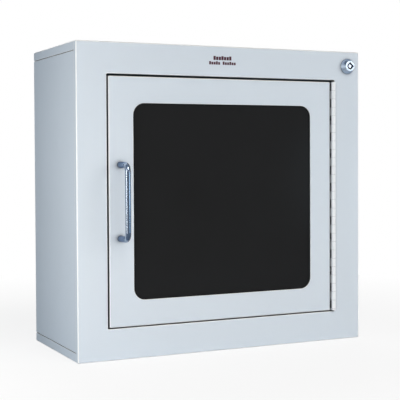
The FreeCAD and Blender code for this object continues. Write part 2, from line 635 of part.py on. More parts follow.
def lock_pins():
    """Tumbler pins standing on the core's floor round the post, clear of its rib."""
    floor = FACE - BEZEL_OUT + KEYWAY_DEPTH
    pins = []
    for index in range(LOCK_PIN_COUNT):
        angle = math.radians(360.0 * (index + 0.5) / LOCK_PIN_COUNT + 90)
        x, z = LOCK_X + LOCK_PIN_RING * math.cos(angle), LOCK_Z + LOCK_PIN_RING * math.sin(angle)
        pins.append(rod(LOCK_PIN_R, (x, floor, z), (x, floor - 2.6, z)))
    return pins


def lock_washer():
    back = FACE + SHEET
    return lock_rod(12.5, back, back + 1.0).cut(lock_rod(LOCK_BARREL_R, back - 1, back + 2))


def lock_nut():
    low = FACE + SHEET + 1.0
    nut = hexagon(LOCK_X, LOCK_Z, 23.0, low, low + 4.0)
    return nut.cut(lock_rod(LOCK_BARREL_R, low - 1, low + 5))


def switch_block():
    low = FACE + LOCK_BARREL_LEN
    half = SWITCH_SIZE / 2
    block = rounded_slab(LOCK_X - half, LOCK_X + half, low, low + SWITCH_LEN,
                         LOCK_Z - half, LOCK_Z + half, 2.0)
    return block.cut(lock_rod(2.8, low - 1, low + SWITCH_LEN - 3.5))


def switch_terminals():
    low = FACE + LOCK_BARREL_LEN + SWITCH_LEN
    blades = []
    for offset in (-5.0, 5.0):
        blade = box(LOCK_X + offset - 0.4, LOCK_X + offset + 0.4, low, low + 8.0,
                    LOCK_Z - 3.1, LOCK_Z + 3.1)
        blades.append(blade.cut(rod(0.8, (LOCK_X + offset - 1, low + 5.5, LOCK_Z),
                                    (LOCK_X + offset + 1, low + 5.5, LOCK_Z))))
    return blades


# ---- alarm unit ------------------------------------------------------------------------------
def corner_posts(inset):
    return [(x, z) for x in (ALARM_X0 + inset, ALARM_X1 - inset)
            for z in (ALARM_Z0 + inset, ALARM_Z1 - inset)]


def mount_studs_at():
    middle = (ALARM_Z0 + ALARM_Z1) / 2
    return [(ALARM_X0 + STUD_INSET, middle), (ALARM_X1 - STUD_INSET, middle)]


def alarm_base():
    floor, wall = ALARM_BACK - ALARM_FLOOR, ALARM_WALL
    tray = rounded_slab(ALARM_X0, ALARM_X1, ALARM_SPLIT, ALARM_BACK, ALARM_Z0, ALARM_Z1,
                        ALARM_CORNER)
    tray = tray.cut(rounded_slab(ALARM_X0 + wall, ALARM_X1 - wall, ALARM_SPLIT - 1, floor,
                                 ALARM_Z0 + wall, ALARM_Z1 - wall, ALARM_CORNER - wall))
    tray = tray.multiFuse([rod(POST_R_OUT, (x, floor, z), (x, ALARM_SPLIT, z))
                           for x, z in corner_posts(POST_INSET)])
    holes = [rod(1.2, (x, ALARM_SPLIT - 1, z), (x, ALARM_BACK - 3, z))
             for x, z in corner_posts(POST_INSET)]
    holes += [rod(STUD_R, (x, ALARM_SPLIT, z), (x, 0, z)) for x, z in mount_studs_at()]
    return tray.cut(Part.makeCompound(holes)).removeSplitter()


def alarm_studs():
    return [rod(STUD_R, (x, ALARM_BACK, z), (x, ALARM_BACK - 7.5, z)) for x, z in mount_studs_at()]


def alarm_nuts():
    high = ALARM_BACK - ALARM_FLOOR
    low = high - 3.2
    return [hexagon(x, z, 7.0, low, high).cut(rod(STUD_R, (x, low - 1, z), (x, high + 1, z)))
            for x, z in mount_studs_at()]


def alarm_cover():
    """Deep cover with sound slots, the battery opening, screw posts and the hatch's lugs."""
    wall, front = ALARM_WALL, ALARM_FRONT
    shell = box(ALARM_X0, ALARM_X1, front, ALARM_SPLIT, ALARM_Z0, ALARM_Z1)
    shell = shell.makeFillet(ALARM_CORNER, edges_along(shell, 1))
    shell = shell.makeFillet(1.5, edges_at(shell, 1, front))
    shell = shell.cut(rounded_slab(ALARM_X0 + wall, ALARM_X1 - wall, front + wall, ALARM_SPLIT + 1,
                                   ALARM_Z0 + wall, ALARM_Z1 - wall, ALARM_CORNER - wall))
    shell = shell.cut(box(HATCH_X0, HATCH_X1, front - 1, front + 3, HATCH_Z0, HATCH_Z1))
    posts = [rod(POST_R_OUT, (x, front + 1, z), (x, ALARM_SPLIT, z))
             for x, z in corner_posts(POST_INSET)]
    shell = shell.multiFuse(posts + hatch_ears())
    cuts = sound_slots()
    cuts += [hatch_rod(HATCH_BARREL_R + HATCH_GAP, -0.6), hatch_rod(HATCH_PIN_R, 5.0)]
    for x, z in corner_posts(POST_INSET):
        cuts.append(rod(1.6, (x, front - 1, z), (x, ALARM_SPLIT + 1, z)))
        cuts.append(rod(2.7, (x, front - 1, z), (x, front + SCREW_SINK, z)))
    for x, z in ((ALARM_X0, REED_LEAD_Z), (ALARM_X1, KEY_LEAD_Z)):
        cuts.append(rod(LEAD_R, (x - 4, LEAD_Y, z), (x + 4, LEAD_Y, z)))
    return shell.cut(Part.makeCompound(cuts)).removeSplitter()


def sound_slots():
    """Horizontal slots across the siren, following its round outline."""
    slots = []
    for index in range(-3, 4):
        z = SIREN_Z + index * SLOT_PITCH
        half = math.sqrt((SIREN_R - 1.0) ** 2 - (index * SLOT_PITCH) ** 2)
        slots.append(rounded_slab(SIREN_X - half, SIREN_X + half, ALARM_FRONT - 1,
                                  ALARM_FRONT + 3, z - 1.0, z + 1.0, 0.95))
    return slots


def hatch_ears():
    """Two lugs on the cover that carry the hatch pin."""
    ears = []
    for z0 in (HATCH_Z0 - HATCH_GAP - EAR_TALL, HATCH_Z1 + HATCH_GAP):
        z1 = z0 + EAR_TALL
        barrel = rod(HATCH_BARREL_R, (HATCH_PIN_X, HATCH_PIN_Y, z0), (HATCH_PIN_X, HATCH_PIN_Y, z1))
        foot = box(HATCH_PIN_X - HATCH_BARREL_R, HATCH_PIN_X + HATCH_BARREL_R, HATCH_PIN_Y,
                   ALARM_FRONT + 0.5, z0, z1)
        ears.append(barrel.fuse(foot))
    return ears


def hatch_rod(radius, beyond):
    """Rod on the hatch's axis, reaching beyond both ends of its opening."""
    return rod(radius, (HATCH_PIN_X, HATCH_PIN_Y, HATCH_Z0 - beyond),
               (HATCH_PIN_X, HATCH_PIN_Y, HATCH_Z1 + beyond))


def hatch_pin():
    return hatch_rod(HATCH_PIN_R, HATCH_GAP + EAR_TALL)


def battery_hatch():
    """Battery door with its hinge barrel on the right and a thumb ridge on the left."""
    gap = HATCH_GAP
    front = ALARM_FRONT - 0.6
    plate = box(HATCH_X0 + gap, HATCH_X1 - gap, front, front + HATCH_T,
                HATCH_Z0 + gap, HATCH_Z1 - gap)
    link = box(HATCH_X1 - 2.0, HATCH_PIN_X, HATCH_PIN_Y - 0.9, HATCH_PIN_Y + 0.9,
               HATCH_Z0 + 1.0, HATCH_Z1 - 1.0)
    hatch = plate.fuse(hatch_rod(HATCH_BARREL_R, -1.0)).fuse(link)
    middle = (HATCH_Z0 + HATCH_Z1) / 2
    ridges = [box(HATCH_X0 + 3 + 2.2 * i, HATCH_X0 + 4.1 + 2.2 * i, front - 0.7, front + 0.5,
                  middle - 7, middle + 7) for i in range(4)]
    hatch = hatch.multiFuse(ridges)
    return hatch.cut(hatch_rod(HATCH_PIN_R + PIN_CLEARANCE, 5.0)).removeSplitter()


def alarm_cover_screws():
    return [pan_screw(x, z, ALARM_FRONT + SCREW_SINK, ALARM_SPLIT + 5.0, 2.6, 1.2, 1.6)
            for x, z in corner_posts(POST_INSET)]


def board_posts_at():
    return [(x, z) for x in (ALARM_X0 + STUD_INSET, ALARM_X1 - STUD_INSET)
            for z in (ALARM_Z0 + 9, ALARM_Z1 - 9)]


def circuit_board():
    board = box(ALARM_X0 + 10, ALARM_X1 - 10, BOARD_FRONT, BOARD_BACK, ALARM_Z0 + 5, ALARM_Z1 - 5)
    holes = [rod(SMALL_SCREW_R, (x, BOARD_FRONT - 1, z), (x, BOARD_BACK + 1, z))
             for x, z in board_posts_at()]
    return board.cut(Part.makeCompound(holes))


def board_spacers():
    floor = ALARM_BACK - ALARM_FLOOR
    return [rod(3.0, (x, BOARD_BACK, z), (x, floor, z)).fuse(
        rod(SMALL_SCREW_R, (x, BOARD_BACK, z), (x, BOARD_FRONT - 1.2, z)))
        for x, z in board_posts_at()]


def piezo_siren():
    """Sounder can with a front aperture, standing on the board behind the slots."""
    front = ALARM_FRONT + ALARM_WALL + 0.5
    can = rod(SIREN_R, (SIREN_X, BOARD_FRONT, SIREN_Z), (SIREN_X, front, SIREN_Z))
    can = can.makeFillet(1.5, edges_at(can, 1, front))
    return can.cut(rod(5.0, (SIREN_X, front - 1, SIREN_Z), (SIREN_X, front + 6, SIREN_Z)))


def board_components():
    """Chip, relay, two capacitors and a row of resistors."""
    f = BOARD_FRONT
    chip, relay = box(110, 120, f - 4, f, 172, 180), box(126, 142, f - 11, f, 170, 181)
    capacitors = [rod(3.2, (104, f, 186), (104, f - 11, 186)),
                  rod(2.5, (114, f, 188), (114, f - 8, 188))]
    radius = 1.1
    resistors = [rod(radius, (74, f - radius, z), (82, f - radius, z)) for z in (146, 150, 154, 158)]
    return [chip, relay] + capacitors + resistors


def terminal_block():
    f = BOARD_FRONT
    block = box(124, 150, f - 9.0, f, TERMINAL_Z - 4, TERMINAL_Z + 4)
    screws = [rod(1.9, (x, f - 10, TERMINAL_Z), (x, f - 7.5, TERMINAL_Z))
              for x in TERMINAL_SCREWS_X]
    return block.cut(Part.makeCompound(screws))


def battery():
    x0, z0, y0 = BATTERY_X0, BATTERY_Z0, BATTERY_FRONT
    cell = box(x0, x0 + BATTERY_LEN, y0, y0 + BATTERY_THICK, z0, z0 + BATTERY_TALL)
    cell = cell.makeFillet(2.0, edges_along(cell, 0))
    middle_y, middle_z = y0 + BATTERY_THICK / 2, z0 + BATTERY_TALL / 2
    studs = [rod(r, (x0, middle_y, middle_z + dz), (x0 - 2.0, middle_y, middle_z + dz))
             for r, dz in ((2.8, -6.35), (3.6, 6.35))]
    return cell.multiFuse(studs)


def battery_snap():
    x, y0, z0 = BATTERY_X0 - 2.0, BATTERY_FRONT, BATTERY_Z0
    cap = box(x - 3.2, x, y0 + 1, y0 + BATTERY_THICK - 1, z0 + 0.5, z0 + BATTERY_TALL - 0.5)
    return cap.makeFillet(1.2, edges_along(cap, 0))


def battery_leads():
    """Two insulated wires from the snap down to the board."""
    x = BATTERY_X0 - 5.2
    y = BATTERY_FRONT + BATTERY_THICK / 2
    return [tube([(x, y, z), (x - 6.0, y, z), (x - 6.0, BOARD_FRONT, z)], 0.7, 2.5)
            for z in (BATTERY_Z0 + 10.0, BATTERY_Z0 + 16.0)]


# ---- wiring ----------------------------------------------------------------------------------
def reed_lead():
    """Lead from the door switch, up and back under the top cap, to the alarm's left side."""
    x, y, z = REED_LEAD_X, STOP_FRONT + SHEET + 4.0, (REED_Z0 + REED_Z1) / 2
    high, drop_x = TOP_INSIDE - CLIP_STANDOFF, 28.0
    return tube([(REED_X1, y, z), (x, y, z), (x, y, high), (x, LEAD_Y, high),
                 (drop_x, LEAD_Y, high), (drop_x, LEAD_Y, REED_LEAD_Z),
                 (ALARM_X0 + 3, LEAD_Y, REED_LEAD_Z)], LEAD_R, LEAD_BEND)


def key_lead():
    """Lead from the key switch, along the right side panel, to the alarm's right side."""
    start, wall_x = FACE + LOCK_BARREL_LEN + SWITCH_LEN, SIDE_INSIDE - CLIP_STANDOFF
    return tube([(LOCK_X, start, LOCK_Z), (LOCK_X, start + 34, LOCK_Z),
                 (wall_x, start + 62, KEY_LEAD_Z), (wall_x, LEAD_Y, KEY_LEAD_Z),
                 (ALARM_X1 - 3, LEAD_Y, KEY_LEAD_Z)], LEAD_R, LEAD_BEND)


def clip_saddle():
    """Stick-on clip round a lead through the origin along Y, stuck to a sheet above it."""
    half, pad_half, pad_t = 3.2, 6.0, CLIP_STANDOFF - 3.2
    grip = box(-half, half, -4, 4, -half, half)
    pad = box(-pad_half, pad_half, -pad_half, pad_half, half, half + pad_t)
    mouth = box(-LEAD_R / 2, LEAD_R / 2, -5, 5, -half - 1, 0)
    return grip.fuse(pad).cut(rod(LEAD_R, (0, -7, 0), (0, 7, 0))).cut(mouth).removeSplitter()


def cable_clips():
    """Two clips under the top cap and one on the right side panel."""
    clips = [clip_saddle().translated(Vector(REED_LEAD_X, y, TOP_INSIDE - CLIP_STANDOFF))
             for y in (-140.0, -60.0)]
    sideways = clip_saddle().rotated(Vector(0, 0, 0), Vector(0, 1, 0), 90)
    return clips + [sideways.translated(Vector(SIDE_INSIDE - CLIP_STANDOFF, -70.0, KEY_LEAD_Z))]


CABINET = (front_frame, side_panel_left, side_panel_right, top_cap, bottom_cap, back_panel,
           door_stop, door_bumpers, rail_marking)
HINGE = (hinge_frame_leaf, hinge_door_leaf, hinge_pin, hinge_frame_rivets, hinge_door_rivets)
DOOR = (door_pan, window_pane, glazing_tape, pane_clips, pane_studs, pane_nuts, pull_handle,
        handle_screws, handle_washers)
CATCH = (catch_body, catch_poles, catch_magnet, catch_screws, strike_plate, strike_rivets)
DOOR_SWITCH = (reed_switch, reed_screws, door_magnet, magnet_rivets)
KEY_SWITCH = (lock_bezel, lock_barrel, lock_rotor, lock_pins, lock_washer, lock_nut,
              switch_block, switch_terminals)
ALARM = (alarm_base, alarm_studs, alarm_nuts, alarm_cover, alarm_cover_screws, circuit_board,
         board_spacers, board_components, terminal_block, piezo_siren, battery, battery_snap,
         battery_leads, battery_hatch, hatch_pin)
WIRING = (reed_lead, key_lead, cable_clips)

for make in CABINET + HINGE + DOOR + CATCH + DOOR_SWITCH + KEY_SWITCH + ALARM + WIRING:
    save(make.__name__, make())
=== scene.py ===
"""Looks of the alarmed wall cabinet: the finishes of its CAD nodes, and a studio round them.

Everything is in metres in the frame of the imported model: the door faces -Y and the wall is at
Y = 0.
"""

import json
import math

import bmesh
import bpy
from mathutils import Matrix, Vector


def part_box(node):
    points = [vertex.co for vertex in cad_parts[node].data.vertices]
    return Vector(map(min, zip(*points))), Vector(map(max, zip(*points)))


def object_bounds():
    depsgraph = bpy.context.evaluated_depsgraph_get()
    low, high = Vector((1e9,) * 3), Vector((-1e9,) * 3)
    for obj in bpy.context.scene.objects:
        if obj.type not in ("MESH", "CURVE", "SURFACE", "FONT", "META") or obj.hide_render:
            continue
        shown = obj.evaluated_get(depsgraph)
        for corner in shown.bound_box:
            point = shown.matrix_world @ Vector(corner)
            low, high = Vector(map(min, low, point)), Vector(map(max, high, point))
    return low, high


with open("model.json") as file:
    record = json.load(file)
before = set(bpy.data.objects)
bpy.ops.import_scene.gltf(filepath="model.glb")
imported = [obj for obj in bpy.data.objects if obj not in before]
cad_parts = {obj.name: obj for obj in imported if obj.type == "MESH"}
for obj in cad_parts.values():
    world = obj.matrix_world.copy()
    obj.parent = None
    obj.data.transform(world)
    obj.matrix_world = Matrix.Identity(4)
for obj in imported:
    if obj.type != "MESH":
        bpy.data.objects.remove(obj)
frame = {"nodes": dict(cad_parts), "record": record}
cad_low, cad_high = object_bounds()

MM = 0.001
EVEN = (1.0, 1.0, 1.0)                               # a pattern that isn't stretched
NOISE_LOW, NOISE_HIGH = 0.3, 0.7                     # range that holds most of a noise's values

# Powder coat
PAINT = (0.640, 0.690, 0.738)
# pale colour of the painted highlight along edges and bends
PAINT_HIGHLIGHT = (0.88, 0.87, 0.85)
PAINT_DEPTH = 1.5                                    # how steeply the painted shade in crevices deepens
HINGE_PAINT = (0.86, 0.87, 0.88)
HINGE_HIGHLIGHT = (0.92, 0.92, 0.92)
# steepness of the painted shade in the hinge's crevices
HINGE_DEPTH = 0.3
EDGE_BAND = 1.5 * MM                                 # width of the painted highlight along a sharp edge
EDGE_TURN = (0.92, 0.998)                            # cosines of that band's turn, edge to flat
BEND_TURN = (0.90, 0.99)                             # cosines off an axis, bend to flat
# reach of the painted shade in crevices, and the occlusion at which it is full and at which it
# ends
PAINT_REACH, PAINT_CLOSED, PAINT_OPEN = 12 * MM, 0.10, 0.90
EDGE_SAMPLES, PAINT_SAMPLES = 6, 16

# Chrome
CHROME = (0.56, 0.64, 0.75)
CHROME_PAINTED_REFLECTION = (0.10, 0.17, 0.32, 1.0)                # painted reflection: deep blue tint where it turns away
# reach, occlusion levels and steepness of the painted shade in the chrome's slots and keyway
CHROME_REACH, CHROME_CLOSED, CHROME_OPEN, CHROME_DEPTH = 3 * MM, 0.45, 0.85, 1.6
CHROME_SAMPLES = 8

ZINC = (0.60, 0.61, 0.62)
# near black of the painted shade in crevices and gaps
PAINTED_SHADE = (0.004, 0.007, 0.012)
TERMINAL_END = 0.3                                   # share of the battery that is copper toned
LABEL_SEAM = 0.1 * MM

# Studio
WHITE = (1.0, 1.0, 1.0)
FLOOR_RADIUS, FLOOR_CORNERS, FLOOR_DROP = 6.0, 96, 0.2 * MM
FLOOR_CENTRE_Y = -0.1
FLOOR_NEAR, FLOOR_FAR = 0.35, 0.9                    # distances between which the floor fades
FLOOR_GLOW_NEAR, FLOOR_GLOW_FAR = 0.84, 1.0          # how much of it is plain white there
FLOOR_WHITE = (0.93, 0.93, 0.93, 1.0)
FLOOR_LIT, FLOOR_MIRRORED = (0.40, 0.50, 0.62), (0.14, 0.19, 0.26)
ROOM_LIT, ROOM_MIRRORED = (0.024, 0.027, 0.030), (0.17, 0.21, 0.27)

# Camera
CAMERA_PLACE = (-0.67224, -1.52350, 0.06603)
YAW, PITCH, ROLL = 0.44305, 0.02616, -0.00466        # radians: to the right, down, and tilt
LENS, SENSOR, SHIFT_Y, CLIP_START = 92.79, 36.0, -0.05, 0.05


# ---- materials -------------------------------------------------------------------------------
class Finish:
    """One material's node tree, with short calls for the nodes that these finishes share."""

    # A Mix node's sockets for colours: their names repeat for every type of data
    MIX_FACTOR, MIX_FIRST, MIX_SECOND, MIX_RESULT = 0, 6, 7, 2

    def __init__(self, name, **sockets):
        self.material = bpy.data.materials.new(name)
        self.material.use_nodes = True
        self.tree = self.material.node_tree
        self.shader = self.tree.nodes["Principled BSDF"]
        for socket, value in sockets.items():
            self.shader.inputs[socket.replace("_", " ")].default_value = value

    def add(self, kind, **settings):
        """A node with its properties and its inputs' values set by name."""
        node = self.tree.nodes.new("ShaderNode" + kind)
        for key, value in settings.items():
            if hasattr(node, key):
                setattr(node, key, value)
            else:
                node.inputs[key.replace("_", " ")].default_value = value
        return node

    def link(self, source, node, socket):
        self.tree.links.new(source, node.inputs[socket])

    def place(self, stretch=EVEN):
        """Position in the object's own frame, in metres, stretched along its axes."""
        mapping = self.add("Mapping", Scale=stretch)
        self.link(self.add("TexCoord").outputs["Object"], mapping, "Vector")
        return mapping.outputs["Vector"]

    def noise(self, per_metre, detail, stretch=EVEN):
        texture = self.add("TexNoise", Scale=per_metre, Detail=detail)
        self.link(self.place(stretch), texture, "Vector")
        return texture.outputs["Fac"]

    def cells(self, per_metre, output):
        texture = self.add("TexVoronoi", Scale=per_metre)
        self.link(self.place(), texture, "Vector")
        return texture.outputs[output]

    def spread(self, value, low, high, start=0.0, end=1.0):
        """Maps a value from low..high to start..end, clamped."""
        node = self.add("MapRange", From_Min=low, From_Max=high, To_Min=start, To_Max=end)
        self.link(value, node, "Value")
        return node.outputs["Result"]

    def combine(self, operation, first, second):
        """A Math node's result; each value is a number or another node's output."""
        node = self.add("Math", operation=operation)
        for index, value in enumerate((first, second)):
            if isinstance(value, float):
                node.inputs[index].default_value = value
            else:
                self.link(value, node, index)
        return node.outputs["Value"]

    def blend(self, factor, first, second):
        """Colour from first to second by factor; each is a colour or another node's output."""
        node = self.add("Mix", data_type="RGBA")
        self.link(factor, node, self.MIX_FACTOR)
        for index, value in ((self.MIX_FIRST, first), (self.MIX_SECOND, second)):
            if isinstance(value, tuple):
                node.inputs[index].default_value = (*value, 1.0)
            else:
                self.link(value, node, index)
        return node.outputs[self.MIX_RESULT]

    def clouds(self, colour, per_metre, detail, darker, lighter):
        """The colour, drifting between two shades of itself."""
        return self.blend(self.noise(per_metre, detail), shade(colour, darker),
                          shade(colour, lighter))

    def mix_shaders(self, factor, first, second):
        node = self.add("MixShader")
        for index, value in enumerate((factor, first, second)):
            self.link(value, node, index)
        return node.outputs[0]

    def colour(self, value):
        self.link(value, self.shader, "Base Color")

    def roughness(self, value, low, high):
        self.link(self.spread(value, NOISE_LOW, NOISE_HIGH, low, high), self.shader, "Roughness")

    def square_on(self):
        """1 where the surface faces along one of the object's axes, less on bends and slopes."""
        sides = self.add("VectorMath", operation="ABSOLUTE")
        self.link(self.add("TexCoord").outputs["Normal"], sides, "Vector")
        axes = self.add("SeparateXYZ")
        self.link(sides.outputs["Vector"], axes, "Vector")
        level = self.combine("MAXIMUM", axes.outputs["X"], axes.outputs["Y"])
        return self.combine("MAXIMUM", level, axes.outputs["Z"])

    def painted_crevice_shade(self, colour, reach, closed, clear, depth, samples):
        """The colour, falling to near black as painted shade where nearby surfaces close it in.
        """
        hidden = self.add("AmbientOcclusion", samples=samples, Distance=reach)
        open_air = self.combine("POWER", self.spread(hidden.outputs["AO"], closed, clear), depth)
        return self.blend(open_air, PAINTED_SHADE, colour)

    def relief(self, height, depth, strength):
        """Bump of that depth in metres, laid over any bump already there."""
        node = self.add("Bump", Strength=strength, Distance=depth)
        self.link(height, node, "Height")
        before = self.shader.inputs["Normal"].links
        if before:
            self.link(before[0].from_socket, node, "Normal")
        self.link(node.outputs["Normal"], self.shader, "Normal")


def shade(colour, factor):
    return tuple(channel * factor for channel in colour)


def powder_coat(name, colour, edge, depth, low, high):
    """Semi-gloss powder coat: orange peel, cloudy tone, speckle, painted highlights along edges
    and bends, and painted shade in crevices.

    Over bends and cut edges the colour turns paler: a painted highlight.
    """
    finish = Finish(name, Specular_IOR_Level=0.5)
    speckle = finish.spread(finish.noise(2600, 1), low=0.35, high=0.65)
    cloudy = finish.clouds(colour, 9, 3, darker=0.975, lighter=1.02)
    coat = finish.blend(speckle, shade(colour, 0.985), cloudy)
    # painted highlight: a pale band along sharp edges and bends, blended over the coat's colour
    rounded = finish.add("Bevel", samples=EDGE_SAMPLES, Radius=EDGE_BAND)
    turned = finish.add("VectorMath", operation="DOT_PRODUCT")
    finish.link(rounded.outputs["Normal"], turned, 0)
    finish.link(finish.add("NewGeometry").outputs["Normal"], turned, 1)
    flat = finish.combine("MULTIPLY", finish.spread(turned.outputs["Value"], *EDGE_TURN),
                          finish.spread(finish.square_on(), *BEND_TURN))
    coat = finish.blend(flat, edge, coat)
    # painted shade: the colour falls to near black in crevices, gaps and beside the hinge
    finish.colour(finish.painted_crevice_shade(coat, PAINT_REACH, PAINT_CLOSED, PAINT_OPEN, depth,
                                    PAINT_SAMPLES))
    finish.roughness(finish.noise(55, 4), low, high)
    finish.link(rounded.outputs["Normal"], finish.shader, "Normal")
    finish.relief(finish.noise(430, 2), depth=0.06 * MM, strength=0.4)
    return finish.material


def bright_chrome(name):
    """Polished plating, handling smears, hairlines; its deep blue rim is a painted reflection.
    """
    finish = Finish(name, Metallic=1.0, Specular_Tint=CHROME_PAINTED_REFLECTION)
    smeared = finish.clouds(CHROME, 60, 3, darker=0.95, lighter=1.05)
    # painted shade: the plating falls to near black in its slots and keyway
    finish.colour(finish.painted_crevice_shade(smeared, CHROME_REACH, CHROME_CLOSED, CHROME_OPEN,
                                    CHROME_DEPTH, CHROME_SAMPLES))
    finish.roughness(finish.noise(45, 4), low=0.13, high=0.20)
    finish.relief(finish.noise(900, 2, stretch=(1.0, 1.0, 0.04)), depth=0.002 * MM, strength=0.3)
    return finish.material


def zinc_plate(name):
    """Zinc-plated steel: mottled spangle, rolled grain and uneven roughness."""
    finish = Finish(name, Metallic=0.8)
    mottled = finish.blend(finish.cells(420, "Color"), shade(ZINC, 0.85), shade(ZINC, 1.1))
    finish.colour(finish.blend(finish.noise(160, 3), mottled, ZINC))
    finish.roughness(finish.noise(240, 4), low=0.30, high=0.44)
    finish.relief(finish.noise(1500, 2, stretch=(1.0, 1.0, 0.15)), depth=0.01 * MM, strength=0.5)
    return finish.material


def moulded_plastic(name, colour):
    """Moulded plastic with a spark-eroded grain and faint flow clouds."""
    finish = Finish(name, Specular_IOR_Level=0.4)
    finish.colour(finish.clouds(colour, 40, 3, darker=0.93, lighter=1.06))
    finish.roughness(finish.noise(300, 3), low=0.42, high=0.56)
    finish.relief(finish.noise(2200, 2), depth=0.03 * MM, strength=0.6)
    return finish.material


def smoked_acrylic(name):
    """Polished dark sheet with faint wiping marks."""
    finish = Finish(name, Specular_IOR_Level=0.1)
    finish.colour(finish.blend(finish.noise(14, 3), (0.0145, 0.0143, 0.0142),
                               (0.0162, 0.0160, 0.0158)))
    finish.roughness(finish.noise(22, 5, stretch=(1.0, 1.0, 0.3)), low=0.10, high=0.20)
    finish.relief(finish.noise(6, 1), depth=0.02 * MM, strength=0.3)
    return finish.material


def foam(name):
    """Open-cell glazing tape."""
    finish = Finish(name, Specular_IOR_Level=0.2)
    finish.colour(finish.blend(finish.noise(500, 2), (0.016, 0.016, 0.016), (0.03, 0.03, 0.03)))
    finish.roughness(finish.noise(700, 2), low=0.75, high=0.92)
    finish.relief(finish.cells(1300, "Distance"), depth=0.1 * MM, strength=0.7)
    return finish.material


def moulded_rubber(name):
    """Matt black rubber with a fine skin."""
    finish = Finish(name, Specular_IOR_Level=0.3)
    finish.colour(finish.blend(finish.noise(120, 3), (0.028, 0.028, 0.029),
                               (0.045, 0.045, 0.046)))
    finish.roughness(finish.noise(350, 3), low=0.6, high=0.75)
    finish.relief(finish.noise(1800, 2), depth=0.02 * MM, strength=0.6)
    return finish.material


def printed_ink(name, colour):
    """Screen print: slightly uneven cover and gloss."""
    finish = Finish(name, Specular_IOR_Level=0.35)
    finish.colour(finish.clouds(colour, 900, 3, darker=0.8, lighter=1.25))
    finish.roughness(finish.noise(600, 2), low=0.45, high=0.62)
    finish.relief(finish.noise(2500, 1), depth=0.01 * MM, strength=0.5)
    return finish.material


def solder_mask(name):
    """Green lacquer over woven laminate."""
    finish = Finish(name, Specular_IOR_Level=0.5)
    weave = finish.combine("ADD", finish.noise(900, 1, stretch=(1.0, 1.0, 0.1)),
                           finish.noise(900, 1, stretch=(0.1, 1.0, 1.0)))
    finish.colour(finish.blend(finish.spread(weave, low=0.7, high=1.3), (0.012, 0.13, 0.045),
                               (0.02, 0.19, 0.07)))
    finish.roughness(finish.noise(200, 2), low=0.2, high=0.32)
    finish.relief(weave, depth=0.01 * MM, strength=0.5)
    return finish.material


def ferrite(name):
    """Sintered magnet: dark, grainy and barely metallic."""
    finish = Finish(name, Metallic=0.35)
    finish.colour(finish.blend(finish.noise(700, 4), (0.05, 0.05, 0.052), (0.11, 0.11, 0.115)))
    finish.roughness(finish.noise(500, 3), low=0.5, high=0.68)
    finish.relief(finish.noise(1600, 3), depth=0.04 * MM, strength=0.7)
    return finish.material


def turned_brass(name):
    """Brass with tool marks and slight tarnish."""
    finish = Finish(name, Metallic=1.0)
    finish.colour(finish.blend(finish.noise(300, 3), (0.62, 0.45, 0.20), (0.78, 0.62, 0.33)))
    finish.roughness(finish.noise(400, 3), low=0.2, high=0.36)
    finish.relief(finish.noise(2500, 2), depth=0.006 * MM, strength=0.6)
    return finish.material


def battery_label(name):
    """Lacquered label in two plain tones, split across the battery's length."""
    finish = Finish(name, Specular_IOR_Level=0.5)
    low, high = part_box("battery")
    split = low.x + TERMINAL_END * (high.x - low.x)
    axis = finish.add("SeparateXYZ")
    finish.link(finish.place(), axis, "Vector")
    band = finish.spread(axis.outputs["X"], split - LABEL_SEAM, split + LABEL_SEAM)
    worn = finish.blend(finish.noise(500, 3), (0.42, 0.22, 0.09), (0.52, 0.29, 0.13))
    finish.colour(finish.blend(band, worn, (0.02, 0.021, 0.023)))
    finish.roughness(finish.noise(200, 3), low=0.24, high=0.36)
    finish.relief(finish.noise(1200, 2), depth=0.01 * MM, strength=0.5)
    return finish.material


def wire_sheath(name, colour):
    """Extruded PVC: faint draw lines and a waxy, uneven gloss."""
    finish = Finish(name, Specular_IOR_Level=0.4)
    finish.colour(finish.clouds(colour, 180, 3, darker=0.88, lighter=1.1))
    finish.roughness(finish.noise(260, 3), low=0.38, high=0.52)
    finish.relief(finish.noise(1500, 2, stretch=(0.2, 1.0, 1.0)), depth=0.01 * MM, strength=0.5)
    return finish.material


def dress_frame():
    """Gives every CAD node the finish of its slot; the hinge leaves have a paler coat."""
    finishes = {
        "cabinet_paint": powder_coat("powder_coat", PAINT, PAINT_HIGHLIGHT, PAINT_DEPTH, low=0.29,
                                     high=0.37),
        "bright_steel": zinc_plate("zinc_plate"),
        "chrome": bright_chrome("polished_chrome"),
        "dark_acrylic": smoked_acrylic("smoked_acrylic"),
        "black_tape": foam("foam_tape"),
        "black_plastic": moulded_plastic("black_plastic", (0.022, 0.022, 0.023)),
        "white_plastic": moulded_plastic("white_plastic", (0.70, 0.70, 0.67)),
        "grey_plastic": moulded_plastic("grey_plastic", (0.42, 0.43, 0.44)),
        "green_board": solder_mask("solder_mask"),
        "terminal_green": moulded_plastic("terminal_green", (0.04, 0.26, 0.10)),
        "brass": turned_brass("turned_brass"),
        "magnet": ferrite("ferrite"),
        "rubber": moulded_rubber("moulded_rubber"),
        "print_maroon": printed_ink("maroon_ink", (0.065, 0.012, 0.024)),
        "battery_wrap": battery_label("battery_label"),
        "lead_sheath": wire_sheath("grey_sheath", (0.24, 0.24, 0.25)),
        "lead_red": wire_sheath("red_sheath", (0.42, 0.025, 0.025)),
    }
    hinge_paint = powder_coat("hinge_paint", HINGE_PAINT, HINGE_HIGHLIGHT, HINGE_DEPTH, low=0.3,
                              high=0.4)
    slots = {row["node"]: row["material_slot"] for row in frame["record"]["subparts"]}
    for name, node in frame["nodes"].items():
        node.data.materials.clear()
        node.data.materials.append(finishes[slots[name]])
    for name in ("hinge_frame_leaf", "hinge_door_leaf"):
        frame["nodes"][name].data.materials[0] = hinge_paint


